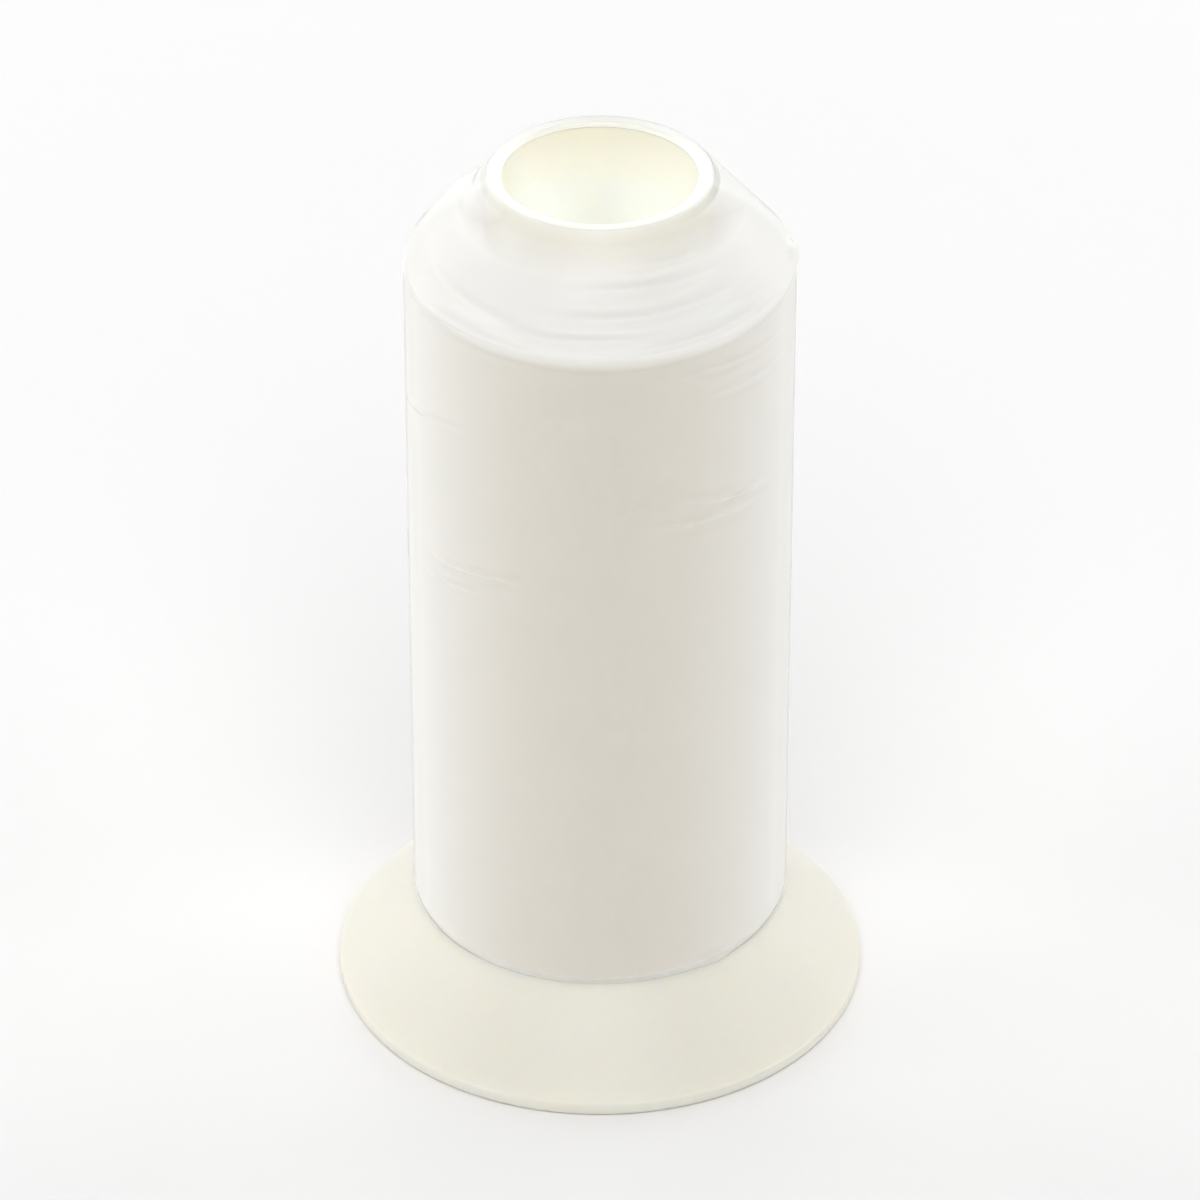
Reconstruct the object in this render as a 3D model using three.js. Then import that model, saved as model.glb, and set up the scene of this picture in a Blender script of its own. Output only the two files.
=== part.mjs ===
// A king spool of sewing thread in its clear shrink sleeve, standing on its flared foot.
// Units are millimetres, +Z is up, and the origin is the centre of the foot on the table.
// Three pieces: the moulded plastic core, the thread wound on it, and the sleeve shrunk over both.
import * as THREE from "three";

// Moulded core: a straight tube whose lower end flares into a hollow conical skirt.
const coreHeight = 131;
const footRadius = 37.5;
const footLip = 2;
const footRound = 0.7;
const skirtAngle = THREE.MathUtils.degToRad(49);
const skirtWall = 1.8;
const tubeTopRadius = 15.15;
const tubeWall = 1.8;
const tubeDraft = Math.tan(THREE.MathUtils.degToRad(0.2));
const rimRound = 0.5;
const flareBlend = 6;

// Wound thread: a cylinder that rests on the skirt and slopes in to the tube's bare neck at the top.
const threadRadius = 26.55;
const threadCornerRound = 1;
const neckLength = 8.45;
const shoulderDrop = 6;
const shoulderRound = 2.5;
const windingGap = 0.3;

// Shrink sleeve: clear film that clings to the thread, bridges the shoulder and laps over the rim.
const filmThickness = 0.3;
const filmGap = 0.15;
const hemRound = 1;
const shoulderSlack = 1;
const boreLap = 1.2;

const roundSegments = 48;
const curveSteps = 4;
const skirtSlope = Math.tan(skirtAngle);

// Radius of the tube's outer wall at a height, which grows downwards with the moulding draft.
function tubeRadius(z) {
  return tubeTopRadius + (coreHeight - z) * tubeDraft;
}

// Height of the skirt's outer face at a radius, raised square to the face by a gap.
function skirtHeight(radius, gap = 0) {
  return footLip + (footRadius - radius) * skirtSlope + gap / Math.cos(skirtAngle);
}

// Height where the skirt's face, raised by a gap, meets the tube's wall moved out by another.
function flareHeight(skirtGap, tubeGap) {
  const atTop = skirtHeight(tubeTopRadius + tubeGap, skirtGap);
  return (atTop - skirtSlope * tubeDraft * coreHeight) / (1 - skirtSlope * tubeDraft);
}

// Continues a path round the blend between the skirt and the tube, from the skirt upwards or back.
function addFlare(path, skirtGap, tubeGap, upwards) {
  const cornerZ = flareHeight(skirtGap, tubeGap);
  const cornerRadius = tubeRadius(cornerZ) + tubeGap;
  const onSkirt = [
    cornerRadius + flareBlend * Math.cos(skirtAngle),
    cornerZ - flareBlend * Math.sin(skirtAngle),
  ];
  const onTube = [tubeRadius(cornerZ + flareBlend) + tubeGap, cornerZ + flareBlend];
  const [from, to] = upwards ? [onSkirt, onTube] : [onTube, onSkirt];
  path.lineTo(...from);
  path.quadraticCurveTo(cornerRadius, cornerZ, ...to);
}

// Turns a closed outline of (radius, height) points about the vertical axis.
function turned(outline) {
  const geometry = new THREE.LatheGeometry(outline, roundSegments);
  geometry.rotateX(Math.PI / 2);
  return geometry;
}

// Points of a path, with a few steps on each curve, closed back to its start.
function closedPoints(path) {
  const points = path.getPoints(curveSteps);
  if (!points[0].equals(points.at(-1))) points.push(points[0].clone());
  return points;
}

function piece(name, geometry, material) {
  const mesh = new THREE.Mesh(geometry, material);
  mesh.name = name;
  return mesh;
}

// The core is one moulding: foot lip, skirt, tube and open rim, hollow from the table to the top.
function spoolCore() {
  const tubeGap = -tubeWall;
  const lipInside = footRadius - skirtWall;
  const path = new THREE.Path();
  path.moveTo(footRadius, 0);
  path.lineTo(footRadius, footLip - footRound);
  path.quadraticCurveTo(
    footRadius, footLip,
    footRadius - footRound, skirtHeight(footRadius - footRound),
  );
  addFlare(path, 0, 0, true);
  path.lineTo(tubeTopRadius, coreHeight - rimRound);
  path.quadraticCurveTo(tubeTopRadius, coreHeight, tubeTopRadius - rimRound, coreHeight);
  path.lineTo(tubeTopRadius - tubeWall + rimRound, coreHeight);
  path.quadraticCurveTo(
    tubeTopRadius - tubeWall, coreHeight,
    tubeTopRadius - tubeWall, coreHeight - rimRound,
  );
  addFlare(path, -skirtWall, tubeGap, false);
  path.lineTo(lipInside, skirtHeight(lipInside, -skirtWall));
  path.lineTo(lipInside, 0);
  const material = new THREE.MeshStandardMaterial({ color: 0xf0ece0, roughness: 0.42 });
  return piece("spool_core", turned(closedPoints(path)), material);
}

// Heights of the thread's shoulder: where it meets the tube, and the sharp corner before rounding.
const shoulderTopZ = coreHeight - neckLength;
const shoulderCornerZ = shoulderTopZ - shoulderDrop;
const shoulderFall = shoulderDrop / (threadRadius - tubeTopRadius);

// The wound thread is one solid ring, seated on the skirt and gripping the tube.
function woundThread() {
  const bottomZ = skirtHeight(threadRadius, windingGap);
  const neckRadius = tubeRadius(shoulderTopZ) + windingGap;
  const path = new THREE.Path();
  path.moveTo(threadRadius - threadCornerRound, skirtHeight(threadRadius - threadCornerRound, windingGap));
  path.quadraticCurveTo(threadRadius, bottomZ, threadRadius, bottomZ + threadCornerRound);
  path.lineTo(threadRadius, shoulderCornerZ - shoulderRound);
  path.quadraticCurveTo(
    threadRadius, shoulderCornerZ,
    threadRadius - shoulderRound, shoulderCornerZ + shoulderRound * shoulderFall,
  );
  path.lineTo(neckRadius, shoulderTopZ);
  addFlare(path, windingGap, windingGap, false);
  const material = new THREE.MeshStandardMaterial({ color: 0xf2efe6, roughness: 0.7 });
  return piece("thread_package", turned(closedPoints(path)), material);
}

// Gives a centre line of (radius, height) points a thickness, as one closed outline.
function ribbon(points, thickness) {
  const side = (sign) =>
    points.map((point, i) => {
      const before = points[Math.max(i - 1, 0)];
      const after = points[Math.min(i + 1, points.length - 1)];
      const along = after.clone().sub(before).normalize();
      const outward = new THREE.Vector2(along.y, -along.x);
      return point.clone().addScaledVector(outward, (sign * thickness) / 2);
    });
  const outline = [...side(1), ...side(-1).reverse()];
  outline.push(outline[0].clone());
  return outline;
}

// The sleeve's centre line runs from its hem on the skirt, up the thread, over the rim, into the bore.
// Above the thread it spans straight from the shoulder's corner, a little slack, to the rim.
function shrinkSleeve() {
  const standoff = filmGap + filmThickness / 2;
  const bodyRadius = threadRadius + standoff;
  const hemRadius = bodyRadius + hemRound;
  const neckRadius = tubeTopRadius + standoff;
  const boreRadius = tubeTopRadius - tubeWall - standoff;
  const topZ = coreHeight + standoff;
  const rimBend = rimRound + standoff;
  const corner = new THREE.Vector2(bodyRadius, shoulderCornerZ + shoulderSlack);
  const rim = new THREE.Vector2(neckRadius, topZ - rimBend);
  const bridgeStart = rim.clone().sub(corner).setLength(shoulderRound).add(corner);
  const path = new THREE.Path();
  path.moveTo(hemRadius, skirtHeight(hemRadius, standoff));
  path.quadraticCurveTo(
    bodyRadius, skirtHeight(bodyRadius, standoff),
    bodyRadius, skirtHeight(bodyRadius, standoff) + hemRound,
  );
  path.lineTo(bodyRadius, corner.y - shoulderRound);
  path.quadraticCurveTo(corner.x, corner.y, bridgeStart.x, bridgeStart.y);
  path.lineTo(rim.x, rim.y);
  path.quadraticCurveTo(neckRadius, topZ, neckRadius - rimBend, topZ);
  path.lineTo(boreRadius + rimBend, topZ);
  path.quadraticCurveTo(boreRadius, topZ, boreRadius, topZ - rimBend);
  path.lineTo(boreRadius, coreHeight - boreLap);
  const material = new THREE.MeshStandardMaterial({
    color: 0xfdfdfb,
    roughness: 0.18,
    transparent: true,
    opacity: 0.25,
  });
  return piece("shrink_sleeve", turned(ribbon(path.getPoints(curveSteps), filmThickness)), material);
}

const spool = new THREE.Group();
spool.add(spoolCore(), woundThread(), shrinkSleeve());

export default spool;
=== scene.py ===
# A king spool of sewing thread in its clear shrink sleeve, standing on its flared foot.
# The order is camera, table and light, then the moulded core, the wound thread and the sleeve.
import math

import bpy
import numpy as np
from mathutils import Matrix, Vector


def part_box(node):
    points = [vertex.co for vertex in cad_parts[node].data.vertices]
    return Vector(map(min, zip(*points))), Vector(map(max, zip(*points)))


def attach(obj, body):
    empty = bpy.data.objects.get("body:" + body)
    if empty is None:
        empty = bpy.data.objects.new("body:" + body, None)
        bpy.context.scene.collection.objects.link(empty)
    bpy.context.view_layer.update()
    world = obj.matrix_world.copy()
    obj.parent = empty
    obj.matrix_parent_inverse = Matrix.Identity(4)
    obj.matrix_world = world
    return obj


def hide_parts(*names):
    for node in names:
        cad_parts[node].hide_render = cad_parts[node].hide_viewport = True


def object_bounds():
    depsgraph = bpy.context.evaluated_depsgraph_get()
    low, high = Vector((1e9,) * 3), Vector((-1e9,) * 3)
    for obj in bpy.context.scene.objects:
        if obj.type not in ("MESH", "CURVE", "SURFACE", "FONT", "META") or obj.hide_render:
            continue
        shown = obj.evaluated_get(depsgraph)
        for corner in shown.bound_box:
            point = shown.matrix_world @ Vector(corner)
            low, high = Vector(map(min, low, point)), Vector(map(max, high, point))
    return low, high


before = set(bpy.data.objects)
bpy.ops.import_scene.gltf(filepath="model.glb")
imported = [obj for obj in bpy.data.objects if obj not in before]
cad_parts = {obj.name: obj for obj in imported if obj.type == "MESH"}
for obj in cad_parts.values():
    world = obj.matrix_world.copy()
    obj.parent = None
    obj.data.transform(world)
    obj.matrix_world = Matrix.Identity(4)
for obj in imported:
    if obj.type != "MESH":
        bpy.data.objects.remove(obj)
cad_low, cad_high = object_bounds()

# ---- Camera ----
# A long lens looks down on the spool from in front, and the spool fills the height of the frame.
camera_lift = math.radians(33.9)
camera_distance = 0.977
camera_lens = 210
camera_aim = Vector((0, 0, 0.062))

camera_data = bpy.data.cameras.new("camera")
camera_data.lens = camera_lens
camera = bpy.data.objects.new("camera", camera_data)
camera_way = Vector((0, -math.cos(camera_lift), math.sin(camera_lift)))
camera.location = camera_aim + camera_distance * camera_way
camera.rotation_euler = (math.pi / 2 - camera_lift, 0, 0)
bpy.context.scene.collection.objects.link(camera)
bpy.context.scene.camera = camera

# ---- Table and light ----
# A white table runs out of sight behind. Soft panels stand at both sides, above and behind, and the
# camera's side of the room is dimmer, so the front of the thread falls into shade. Narrow lamps shine
# down the bore and on the collar, where thin plastic glows in a bright room.
table_half = 3.0
table_corners = [(-1, -1), (1, -1), (1, 1), (-1, 1)]
table_mesh = bpy.data.meshes.new("table")
table_mesh.from_pydata([(x * table_half, y * table_half, 0) for x, y in table_corners], [], [(0, 1, 2, 3)])
table = bpy.data.objects.new("table", table_mesh)
bpy.context.scene.collection.objects.link(table)
table_material = bpy.data.materials.new("white_table")
table_material.use_nodes = True
table_shader = table_material.node_tree.nodes["Principled BSDF"]
table_shader.inputs["Base Color"].default_value = (0.88, 0.88, 0.88, 1)
table_shader.inputs["Roughness"].default_value = 0.6
table_mesh.materials.append(table_material)

room = bpy.data.worlds.new("room")
room.use_nodes = True
room_light = room.node_tree.nodes["Background"]
room_light.inputs["Color"].default_value = (1.0, 1.0, 1.0, 1)
room_light.inputs["Strength"].default_value = 0.13
bpy.context.scene.world = room
bpy.context.scene.view_settings.view_transform = "Standard"


def add_panel(name, place, size, power):
    """A square soft panel of a size in metres, at a place, facing the spool's middle."""
    data = bpy.data.lights.new(name, "AREA")
    data.size = size
    data.energy = power
    panel = bpy.data.objects.new(name, data)
    panel.location = place
    panel.rotation_euler = (Vector(place) - camera_aim).to_track_quat("Z", "Y").to_euler()
    bpy.context.scene.collection.objects.link(panel)


add_panel("panel_left", (-1.25, -0.3, 0.35), 0.7, 5)
add_panel("panel_right", (1.25, -0.35, 0.35), 0.7, 3.7)
add_panel("panel_front", (0, -1.6, 0.4), 0.8, 2.5)
add_panel("panel_above", (0, -0.9, 1.5), 1.2, 17.5)
add_panel("panel_behind", (0, 1.5, 0.5), 1.4, 13.5)
add_panel("panel_behind_left", (-1.1, 0.9, 0.6), 1.0, 7.5)
add_panel("panel_behind_right", (1.1, 0.9, 0.6), 1.0, 7.5)

narrow_lamp_colour = (0.75, 0.86, 1.0)
narrow_lamp_size = 0.003
narrow_lamp_height = cad_high.z + 0.70
narrow_lamp_aim = Vector((0, 0, cad_high.z - 0.001))


def add_narrow_lamp(name, place, power, cone, blend):
    """A lamp with a narrow cone, in degrees, over a place (x, y) on the table, facing the bore."""
    data = bpy.data.lights.new(name, "SPOT")
    data.energy = power
    data.color = narrow_lamp_colour
    data.shadow_soft_size = narrow_lamp_size
    data.spot_size = math.radians(cone)
    data.spot_blend = blend
    lamp = bpy.data.objects.new(name, data)
    lamp.location = (*place, narrow_lamp_height)
    lamp.rotation_euler = (lamp.location - narrow_lamp_aim).to_track_quat("Z", "Y").to_euler()
    bpy.context.scene.collection.objects.link(lamp)


add_narrow_lamp("bore_lamp_left", (-0.45, -0.15), 28, 1.6, 0.5)
add_narrow_lamp("bore_lamp_front", (0, -0.40), 20.5, 1.6, 0.5)
add_narrow_lamp("bore_lamp_right", (0.45, -0.15), 28, 1.6, 0.5)
add_narrow_lamp("collar_lamp", (0, -0.40), 6, 2.9, 1.0)

# ---- Spool core ----
# The core is one injection moulding in cream polypropylene: an open tube that flares into a hollow
# conical skirt and ends in a square lip. It is drafted so that it slides off the mould's core pin.
core_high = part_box("spool_core")[1]
tube_radius = 0.01515
tube_wall = 0.0018
tube_draft = math.tan(math.radians(0.2))
rim_round = 0.0006
skirt_slope = math.tan(math.radians(49))
skirt_wall = 0.0018
flare_round = 0.016
lip_height = 0.0021
lip_round = 0.0006
foot_round = 0.0008
inner_edge_round = 0.0003
core_spacing = 0.002
core_columns = 192
arc_steps = 8


def rounded_outline(corners, rounds, spacing, closed=True):
    """An outline in (radius, height) whose corners are circular arcs, closed or open.

    With the plane as complex numbers, the path turns at a corner by the angle of way out over way in.
    The arc starts at rounding times tan(turn / 2) before the corner, has its centre square to the way
    in, and sweeps by the turn. Each arc and the stretch after it are then cut into equal steps, no
    longer than the corner's spacing.
    """
    corner = np.array(corners) @ (1, 1j)
    way_in = corner - np.roll(corner, 1)
    way_in /= np.abs(way_in)
    turn = np.angle(np.roll(way_in, -1) / way_in)
    rounds = np.array(rounds)
    start = corner - way_in * rounds * np.abs(np.tan(turn / 2))
    centre = start + 1j * way_in * rounds * np.sign(turn)
    share = np.linspace(0, 1, arc_steps + 1)
    arcs = centre[:, None] + (start - centre)[:, None] * np.exp(1j * turn[:, None] * share)
    ends = np.append(arcs.ravel(), arcs[0, 0])
    longest = np.repeat(np.broadcast_to(spacing, len(corner)), arc_steps + 1)
    steps = np.ceil(np.abs(np.diff(ends)) / longest - 1e-6).astype(int)
    steps[-1] *= closed
    stretch = np.repeat(np.arange(len(steps)), steps)
    along = (np.arange(steps.sum()) - np.repeat(np.cumsum(steps) - steps, steps)) / steps[stretch]
    points = ends[stretch] + along * np.diff(ends)[stretch]
    points = points if closed else np.append(points, ends[-2])
    return points.real, points.imag


def add_piece(name, points, faces, material):
    """A piece with smooth faces, from an array of points and an array of four-cornered faces."""
    mesh = bpy.data.meshes.new(name)
    mesh.from_pydata(points, [], faces)
    mesh.polygons.foreach_set("use_smooth", np.ones(len(faces), bool))
    mesh.materials.append(material)
    piece = bpy.data.objects.new(name, mesh)
    bpy.context.scene.collection.objects.link(piece)
    return piece


def add_ring_piece(name, radius, height, angle, material):
    """A closed surface from two-way periodic grids of radius, height and angle, row by row.

    A point is (radius sin angle, -radius cos angle, height), so angle 0 faces the front and 90 degrees
    faces +X. Rows run up the outside and down the inside, and the faces point outwards.
    """
    radius, height, angle = np.broadcast_arrays(radius, height, angle)
    points = np.stack([radius * np.sin(angle), -radius * np.cos(angle), height], axis=-1)
    index = np.arange(radius.size).reshape(radius.shape)
    right, up = np.roll(index, -1, axis=1), np.roll(index, -1, axis=0)
    faces = np.stack([index, right, np.roll(up, -1, axis=1), up], axis=-1).reshape(-1, 4)
    return add_piece(name, points.reshape(-1, 3), faces, material)


def angles_round(columns):
    """Equal angles round the axis, as one row."""
    return np.arange(columns)[None, :] * 2 * math.pi / columns


def flare_corner(skirt_gap, tube_gap):
    """Where the skirt's face, moved out square by one gap, meets the tube's wall moved out by another."""
    lift = lip_height + skirt_gap * math.hypot(1, skirt_slope)
    reach = core_high.x - tube_radius - tube_gap - tube_draft * core_high.z
    height = (lift + reach * skirt_slope) / (1 - skirt_slope * tube_draft)
    return tube_radius + tube_gap + (core_high.z - height) * tube_draft, height


def new_material(name, colour, roughness):
    """A material with a plain Principled shader, and its nodes, links and shader."""
    material = bpy.data.materials.new(name)
    material.use_nodes = True
    nodes, links = material.node_tree.nodes, material.node_tree.links
    shader = nodes["Principled BSDF"]
    shader.inputs["Base Color"].default_value = (*colour, 1)
    shader.inputs["Roughness"].default_value = roughness
    return material, nodes, links, shader


# The fine grain of moulded plastic and of spun thread: noise that moves both roughness and height.
grain_relief = 0.00005
grain = bpy.data.node_groups.new("fine_grain", "ShaderNodeTree")
for socket_name, start_value in (("Size mm", 0.4), ("Height", 0.3), ("Low", 0.4), ("High", 0.6)):
    socket = grain.interface.new_socket(socket_name, in_out="INPUT", socket_type="NodeSocketFloat")
    socket.default_value = start_value
grain.interface.new_socket("Roughness", in_out="OUTPUT", socket_type="NodeSocketFloat")
grain.interface.new_socket("Normal", in_out="OUTPUT", socket_type="NodeSocketVector")
grain_in = grain.nodes.new("NodeGroupInput")
grain_out = grain.nodes.new("NodeGroupOutput")
grain_place = grain.nodes.new("ShaderNodeTexCoord")
grain_scale = grain.nodes.new("ShaderNodeMath")
grain_scale.operation = "DIVIDE"
grain_scale.inputs[0].default_value = 1000  # millimetres in a metre
grain_noise = grain.nodes.new("ShaderNodeTexNoise")
grain_noise.inputs["Detail"].default_value = 4
grain_range = grain.nodes.new("ShaderNodeMapRange")
grain_bump = grain.nodes.new("ShaderNodeBump")
grain_bump.inputs["Distance"].default_value = grain_relief
grain.links.new(grain_in.outputs["Size mm"], grain_scale.inputs[1])
grain.links.new(grain_place.outputs["Object"], grain_noise.inputs["Vector"])
grain.links.new(grain_scale.outputs[0], grain_noise.inputs["Scale"])
grain.links.new(grain_noise.outputs["Fac"], grain_range.inputs["Value"])
grain.links.new(grain_in.outputs["Low"], grain_range.inputs["To Min"])
grain.links.new(grain_in.outputs["High"], grain_range.inputs["To Max"])
grain.links.new(grain_noise.outputs["Fac"], grain_bump.inputs["Height"])
grain.links.new(grain_in.outputs["Height"], grain_bump.inputs["Strength"])
grain.links.new(grain_range.outputs["Result"], grain_out.inputs["Roughness"])
grain.links.new(grain_bump.outputs["Normal"], grain_out.inputs["Normal"])


def add_grain(nodes, links, shader, size_mm, height, low, high):
    """Puts the fine grain on a shader: patches of a size, a bump height, and a range of roughness."""
    node = nodes.new("ShaderNodeGroup")
    node.node_tree = grain
    for socket_name, value in (("Size mm", size_mm), ("Height", height), ("Low", low), ("High", high)):
        node.inputs[socket_name].default_value = value
    links.new(node.outputs["Roughness"], shader.inputs["Roughness"])
    links.new(node.outputs["Normal"], shader.inputs["Normal"])


core_cream = (0.84, 0.795, 0.685)
core_material, nodes, links, shader = new_material("cream_polypropylene", core_cream, 0.42)
shader.inputs["Specular IOR Level"].default_value = 0.3
shader.inputs["Subsurface Weight"].default_value = 0.8
shader.inputs["Subsurface Radius"].default_value = (1.0, 0.85, 0.6)
shader.inputs["Subsurface Scale"].default_value = 0.004
add_grain(nodes, links, shader, size_mm=1.2, height=0.12, low=0.34, high=0.46)

lip_inside = core_high.x - skirt_wall
lip_inside_top = lip_height + skirt_wall * (skirt_slope - math.hypot(1, skirt_slope))
core_corners = [
    (core_high.x, 0),
    (core_high.x, lip_height),
    flare_corner(0, 0),
    (tube_radius, core_high.z),
    (tube_radius - tube_wall, core_high.z),
    flare_corner(-skirt_wall, -tube_wall),
    (lip_inside, lip_inside_top),
    (lip_inside, 0),
]
core_rounds = [
    foot_round,
    lip_round,
    flare_round,
    rim_round,
    rim_round,
    flare_round + skirt_wall,
    lip_round,
    inner_edge_round,
]
radius, height = rounded_outline(core_corners, core_rounds, core_spacing)
core = add_ring_piece(
    "spool_core_moulding", radius[:, None], height[:, None], angles_round(core_columns), core_material
)
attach(core, "root")
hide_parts("spool_core")

# ---- Thread package ----
# The thread is cross-wound in many layers. Under the outermost layer the package is drawn as one ring
# that sits on the skirt and grips the tube, and each layer's end shows as a fine ring on the shoulder.
thread_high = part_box("thread_package")[1]
strand = 0.00042
winding_cover = 0.6 * strand
winding_gap = 0.0003
tube_gap = 0.00005
package_radius = thread_high.x - winding_cover
shoulder_drop = 0.006
shoulder_top = thread_high.z
shoulder_corner = shoulder_top - shoulder_drop
package_edge_round = 0.0004
shoulder_round = 0.0018
package_spacing = 0.0015
shoulder_spacing = 0.00011
neck_spacing = 0.002
package_columns = 240
ring_depth = 0.00006
patch_share = 0.7

thread_white = (0.88, 0.81, 0.675)
thread_material, nodes, links, shader = new_material("spun_thread", thread_white, 0.62)
shader.inputs["Sheen Weight"].default_value = 0.25
shader.inputs["Sheen Roughness"].default_value = 0.5
add_grain(nodes, links, shader, size_mm=0.12, height=0.5, low=0.52, high=0.74)

package_low = lip_height + (core_high.x - package_radius) * skirt_slope + 0.5 * winding_gap
package_corners = [
    (package_radius, package_low),
    (package_radius, shoulder_corner),
    (tube_radius + tube_gap, shoulder_top),
    flare_corner(winding_gap, tube_gap),
]
package_rounds = [package_edge_round, shoulder_round, package_edge_round, flare_round]
package_spacings = [package_spacing, shoulder_spacing, neck_spacing, package_spacing]
radius, height = rounded_outline(package_corners, package_rounds, package_spacings)
angle = angles_round(package_columns)
shoulder_share = (height - shoulder_corner) / (shoulder_top - shoulder_corner)
shoulder_length = math.hypot(package_radius - tube_radius, shoulder_top - shoulder_corner)
turns_down = (shoulder_share * shoulder_length / strand)[:, None]


def strand_ridges(turns, lean):
    """Half-round ridges, one to each whole turn, that climb by lean strands in each circle."""
    across = (turns + lean * angle / (2 * math.pi)) % 1
    return np.sqrt(1 - (2 * across - 1) ** 2)


# Patches decide, from place to place, whether a rising or a falling run lies on top. The relief fades
# in below the shoulder's corner and out at the neck, and is only on the outside.
patches = np.sin(5 * angle + 0.9 * turns_down) * np.sin(4 * angle - 0.7 * turns_down)
rising_runs = strand_ridges(turns_down, 6) + patch_share * patches
falling_runs = strand_ridges(turns_down, -7) - patch_share * patches
on_shoulder = (np.clip(shoulder_share * 12, 0, 1) * np.clip((1 - shoulder_share) * 30, 0, 1))[:, None]
outside = (np.arange(len(height)) < np.argmax(height))[:, None]
relief = ring_depth * np.maximum(rising_runs, falling_runs) * on_shoulder * outside
fall = math.atan2(package_radius - tube_radius, shoulder_top - shoulder_corner)
package = add_ring_piece(
    "thread_package_layers",
    radius[:, None] + relief * math.cos(fall),
    height[:, None] + relief * math.sin(fall),
    angle,
    thread_material,
)
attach(package, "root")

# ---- Outermost winding ----
# The last layer is one continuous thread. It climbs and falls in steep helices while the spool turns,
# so its rising and falling runs cross and pass over and under each other in long diamonds.
turns_per_stroke = 9.54
strokes = 50
steps_per_turn = 48
reversal_softness = 0.996
turn_wander = 0.013
fast_wander = 0.617
slow_wander = 0.234
weave_count = 4
weave_lift = 0.00002
end_margin = 0.0005

# One stroke is a climb and a fall. The thread wanders a little round the spool from stroke to stroke,
# so its runs don't line up in stripes. Rising is 1 on a climb and -1 on a fall, and the diamonds, 1 and
# -1 by turns over the surface, say which of the two lies on top.
stroke = np.linspace(0, strokes, int(strokes * turns_per_stroke * steps_per_turn))
cycle = 2 * math.pi * stroke
wander = turn_wander * (np.sin(fast_wander * cycle + 1) + np.sin(slow_wander * cycle))
turn_angle = 2 * math.pi * (turns_per_stroke * stroke + wander)
swing = np.arcsin(reversal_softness * np.sin(cycle)) / math.asin(reversal_softness)
low_end = package_low + end_margin
high_end = shoulder_corner - end_margin
thread_height = (low_end + high_end) / 2 + swing * (high_end - low_end) / 2
climb_angle = math.pi * turns_per_stroke / (high_end - low_end) * thread_height
rising = np.clip(6 * np.cos(cycle), -1, 1)
diamonds = np.sin(weave_count * (turn_angle - climb_angle)) * np.sin(weave_count * (turn_angle + climb_angle))
on_top = rising * np.clip(3 * diamonds, -1, 1)
thread_radius = thread_high.x - 0.5 * strand - weave_lift + weave_lift * on_top


def add_thread(name, radius, angle, height, width, material):
    """A closed thread along a path round the axis, with a four-cornered section.

    The corners stand half a width out, up, in and down from the path, where out is the direction from
    the axis and up is square to both out and the way that the path runs.
    """
    out = np.stack([np.sin(angle), -np.cos(angle), np.zeros_like(angle)], axis=-1)
    path = out * radius[:, None] + np.stack([0 * height, 0 * height, height], axis=-1)
    way = np.gradient(path, axis=0)
    way /= np.linalg.norm(way, axis=1, keepdims=True)
    up = np.cross(out, way)
    sides = np.stack([out, up, -out, -up], axis=1) * width / 2
    points = (path[:, None] + sides).reshape(-1, 3)
    index = np.arange(len(points)).reshape(-1, 4)
    around = np.roll(index, -1, axis=1)
    walls = np.stack([index[:-1], index[1:], around[1:], around[:-1]], axis=-1).reshape(-1, 4)
    faces = np.concatenate([walls, index[:1], index[-1:, ::-1]])
    return add_piece(name, points, faces, material)


winding = add_thread("outer_winding", thread_radius, turn_angle, thread_height, strand, thread_material)
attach(winding, "root")
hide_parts("thread_package")

# ---- Shrink sleeve ----
# The sleeve is thin clear film, shrunk by heat from a flat tube. It grips the thread, spans from the
# shoulder's corner to the rim, and laps over the rim. Creases run round the shoulder and the body where
# the film had more width than it could lose, and its pressed fold leaves a small ear at +X.
film_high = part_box("shrink_sleeve")[1]
film_thickness = 0.00006
film_gap = 0.00012
film_columns = 224
film_body = thread_high.x + film_gap
film_corner_rise = 0.0012
film_corner = shoulder_corner + film_corner_rise
film_corner_round = 0.0018
hem_gap = 0.0005
hem_height = lip_height + (core_high.x - film_body) * skirt_slope + hem_gap
film_rim = rim_round + film_gap
bore_lap = 0.0006
smooth_spacing = 0.0013
low_crease_spacing = 0.00037
high_crease_spacing = 0.0004
rim_spacing = 0.0005
low_creases_from = 0.0735
low_creases_to = 0.0840
high_creases_from = 0.0885
deepest_dent_mm = 0.05
dent_slope = 0.5

# The outline runs up from the hem to the bore. Its flat corners on the body only change the spacing,
# which is finer where there are creases.
film_corners = [
    (film_body, hem_height),
    (film_body, low_creases_from),
    (film_body, low_creases_to),
    (film_body, high_creases_from),
    (film_body, film_corner),
    (tube_radius + film_gap, core_high.z + film_gap),
    (tube_radius - tube_wall - film_gap, core_high.z + film_gap),
    (tube_radius - tube_wall - film_gap, core_high.z - bore_lap),
]
film_rounds = [0, 0, 0, 0, film_corner_round, film_rim, film_rim, 0]
film_spacings = [
    smooth_spacing,
    low_crease_spacing,
    smooth_spacing,
    high_crease_spacing,
    high_crease_spacing,
    rim_spacing,
    rim_spacing,
    1,
]
radius, height = rounded_outline(film_corners, film_rounds, film_spacings, closed=False)
angle = angles_round(film_columns)
degrees = np.degrees((angle + math.pi) % (2 * math.pi) - math.pi)


def press(middle, level, half_angle, half_height, depth):
    """A soft bulge, or a dent if the depth is negative: depth times a bell in angle and in height.

    The middle and the half angle are in degrees, and the other sizes are in millimetres.
    """
    off = (degrees - middle + 180) % 360 - 180
    return depth * np.exp(-((off / half_angle) ** 2) - ((height[:, None] * 1000 - level) / half_height) ** 2)


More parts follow.
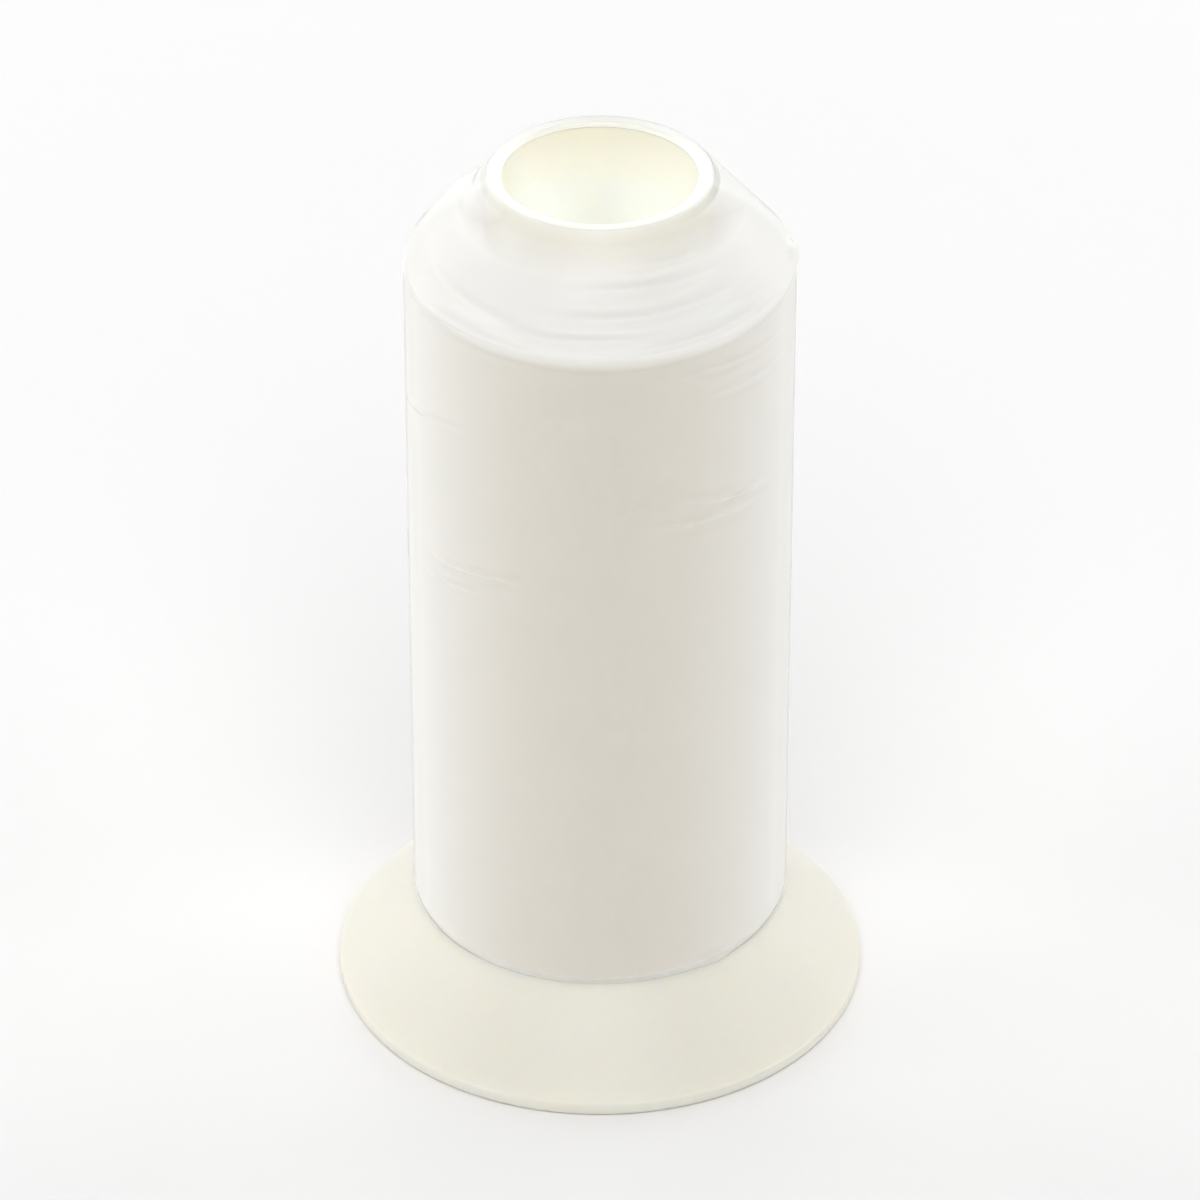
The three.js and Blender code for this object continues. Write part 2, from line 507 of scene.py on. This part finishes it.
def crease(start, end, start_level, end_level, depth, start_width, end_width):
    """A crease round the film from one angle to another: a narrow ridge with a shallow trough below it.

    Across, it is a bell less a wider, lower bell. Along, its depth swells and dies away as one minus
    the square of the place from -1 to 1, to the power 1.5. Angles are in degrees, and the rest in
    millimetres.
    """
    share = ((degrees - start) % 360) / (end - start)
    level = start_level + (end_level - start_level) * np.clip(share, 0, 1)
    width = start_width + (end_width - start_width) * np.clip(share, 0, 1)
    across = (height[:, None] * 1000 - level) / width
    ridge = np.exp(-(across**2)) - 0.55 * np.exp(-((across + 1.7) ** 2) / 1.6)
    return depth * ridge * np.clip(1 - (2 * share - 1) ** 2, 0, 1) ** 1.5


film_presses = [
    (-88, 126.9, 52, 2.4, -0.75),  # drawn in under the rim at -X
    (-88, 122.0, 60, 2.8, 0.5),  # bulge below it
    (89, 118.7, 6, 0.8, 1.1),  # ear of the pressed fold at +X
    (180, 124.0, 40, 2.6, -0.35),  # drawn in at the back
    (38, 14.4, 5, 1.0, 0.6),  # lifted hem
]
shoulder_creases = [
    (4, 54, 127.0, 126.8, 0.42, 0.7, 0.4),
    (-16, 54, 124.8, 124.7, 0.78, 1.0, 0.45),
    (-30, 68, 121.7, 122.3, 0.72, 0.8, 0.5),
    (-50, 26, 119.2, 120.0, 0.62, 0.55, 0.7),
    (-10, 72, 118.4, 119.2, 0.58, 0.38, 0.34),
    (-76, -14, 121.6, 119.9, 0.46, 0.8, 0.5),
    (-66, -8, 118.5, 117.9, 0.40, 0.6, 0.4),
    (-80, -34, 117.2, 118.6, 0.22, 0.5, 0.5),
    (26, 70, 120.7, 120.9, 0.34, 0.45, 0.34),
    (24, 68, 114.0, 113.0, 0.22, 0.35, 0.35),
    (33, 68, 109.9, 109.1, 0.18, 0.5, 0.4),
]
body_creases = [
    (20, 60, 94.9, 90.9, 0.36, 0.7, 0.35),
    (22, 58, 93.0, 92.0, 0.22, 0.5, 0.3),
    (16, 54, 90.8, 89.8, 0.30, 0.6, 0.35),
    (-62, -22, 78.8, 81.6, 0.38, 0.35, 0.5),
    (-64, -38, 75.1, 77.5, 0.32, 0.35, 0.4),
    (-82, -44, 98.3, 102.6, 0.30, 0.4, 0.4),
]
lift = 0
for press_sizes in film_presses:
    lift = lift + press(*press_sizes)
for crease_sizes in shoulder_creases + body_creases:
    lift = lift + crease(*crease_sizes)

# The thread holds the film from inside, so a dent stays shallow on the body and may deepen by half a
# millimetre for each millimetre above the corner. The film is tight on the rim and in the bore. The
# lift is in millimetres, square to the film, until the last step.
above_corner_mm = 1000 * np.clip(height - film_corner, 0, 1)[:, None]
lift = np.maximum(lift, -deepest_dent_mm - dent_slope * above_corner_mm)
slope_radius, slope_height = np.gradient(radius), np.gradient(height)
slope = np.hypot(slope_radius, slope_height)
out_radius, out_height = slope_height / slope, -slope_radius / slope
film_outside = np.arange(len(height)) < np.argmax(height)
tight_above = core_high.z - 0.0008
loose = np.clip((tight_above - height) / 0.002, 0, 1) * film_outside
lift = lift * loose[:, None] / 1000
outer_radius = radius[:, None] + out_radius[:, None] * lift
outer_height = height[:, None] + out_height[:, None] * lift
inner_radius = outer_radius - film_thickness * out_radius[:, None]
inner_height = outer_height - film_thickness * out_height[:, None]

# Slack is 1 where the film hangs free of the thread, from the shoulder's corner almost to the rim, and
# where a crease holds it off the body. A second mask, painted shade, is 1 on a band round the rim where
# the film is seen edge-on from the camera, strongest at the back: a painted dark outline.
slack_starts = film_corner - 0.0022
slack_at_rim = 0.4
crease_slack = 1500
edge_middle = 48
edge_swing = 27
edge_width = 11
edge_back = math.radians(165)
over_shoulder = np.clip((height - slack_starts) / 0.0025, 0, 1)
under_rim = np.clip((core_high.z - height + 0.001) / 0.006, slack_at_rim, 1)
on_body = np.clip((film_corner - height) / 0.002, 0, 1)[:, None]
slack = np.clip((over_shoulder * under_rim)[:, None] + crease_slack * np.abs(lift) * on_body, 0, 1)
# The painted shade band: a dark outline set by the film's slope on the rim, so it falls where the film is
# seen edge-on from the camera.
rim_arc = np.degrees(np.arctan2(out_height, out_radius))[:, None]
edge_line = np.exp(-(((rim_arc - edge_middle + edge_swing * np.cos(angle)) / edge_width) ** 2))
round_back = 0.5 + 0.5 * np.cos(angle - edge_back)
painted_edge_shade = edge_line * (height[:, None] > tight_above) * (0.1 + 0.9 * round_back**2)

film_white = (0.96, 0.965, 0.95)
film_clear = (0.99, 0.99, 0.985, 1)
# The grey of the painted dark outline, a tint on what shows through the film.
painted_edge_grey = (0.68, 0.66, 0.655, 1)
film_gloss = 0.3
film_haze = (0.24, 0.78)
film_edge = 0.4


def add_transparent(nodes, colour):
    """A shader that lets light straight through and tints it."""
    node = nodes.new("ShaderNodeBsdfTransparent")
    node.inputs["Color"].default_value = colour
    return node.outputs[0]


def add_range(nodes, links, value, value_range, result_range):
    """A value moved from one range to another in proportion, and held inside the second range."""
    node = nodes.new("ShaderNodeMapRange")
    node.inputs["From Min"].default_value, node.inputs["From Max"].default_value = value_range
    node.inputs["To Min"].default_value, node.inputs["To Max"].default_value = result_range
    links.new(value, node.inputs["Value"])
    return node.outputs["Result"]


def add_larger(nodes, links, name, other):
    """The larger of another value and the value that the mesh stores under a name."""
    stored = nodes.new("ShaderNodeAttribute")
    stored.attribute_name = name
    node = nodes.new("ShaderNodeMath")
    node.operation = "MAXIMUM"
    links.new(stored.outputs["Fac"], node.inputs[0])
    links.new(other, node.inputs[1])
    return node.outputs[0]


def add_mix(nodes, links, share, first, second):
    """A mix of two shaders, all the first where the share is 0 and all the second where it is 1."""
    node = nodes.new("ShaderNodeMixShader")
    links.new(share, node.inputs["Fac"])
    links.new(first, node.inputs[1])
    links.new(second, node.inputs[2])
    return node.outputs[0]


# Milky where it is slack or seen at a slant, a soft gloss over that, then a painted dark outline, a grey
# tint on what shows through, where one looks along the film and on the band round the back of the rim.
# The sheet's inside faces are left clear.
film_material, nodes, links, shader = new_material("clear_shrink_film", film_white, 0.5)
shader.inputs["Specular IOR Level"].default_value = 0.2
facing = nodes.new("ShaderNodeLayerWeight").outputs["Facing"]
slant = add_range(nodes, links, facing, (0, 0.7), (0, 1))
haze = add_range(nodes, links, add_larger(nodes, links, "slack", slant), (0, 1), film_haze)
film_skin = add_mix(nodes, links, haze, add_transparent(nodes, film_clear), shader.outputs[0])
mirror = nodes.new("ShaderNodeFresnel")
mirror.inputs["IOR"].default_value = 1.4
gloss = nodes.new("ShaderNodeBsdfGlossy")
gloss.inputs["Color"].default_value = (1, 1, 1, 1)
gloss.inputs["Roughness"].default_value = 0.25
gloss_share = add_range(nodes, links, mirror.outputs[0], (0, 1), (0, film_gloss))
film_skin = add_mix(nodes, links, gloss_share, film_skin, gloss.outputs[0])
# Painted shade: a grey outline where one looks along the film, and on the painted band round the back of the
# rim.
edge = add_range(nodes, links, facing, (0.87, 0.99), (0, film_edge))
painted_edge_share = add_larger(nodes, links, "painted_edge_shade", edge)
film_skin = add_mix(nodes, links, painted_edge_share, film_skin, add_transparent(nodes, painted_edge_grey))
back = nodes.new("ShaderNodeNewGeometry").outputs["Backfacing"]
film_skin = add_mix(nodes, links, back, film_skin, add_transparent(nodes, (1, 1, 1, 1)))
links.new(film_skin, nodes["Material Output"].inputs["Surface"])

film = add_ring_piece(
    "shrink_film",
    np.concatenate([outer_radius, inner_radius[::-1]]),
    np.concatenate([outer_height, inner_height[::-1]]),
    angle,
    film_material,
)
for attribute_name, values in (("slack", slack), ("painted_edge_shade", painted_edge_shade)):
    attribute = film.data.attributes.new(attribute_name, "FLOAT", "POINT")
    attribute.data.foreach_set("value", np.concatenate([values, values[::-1]]).ravel())
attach(film, "root")
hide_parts("shrink_sleeve")
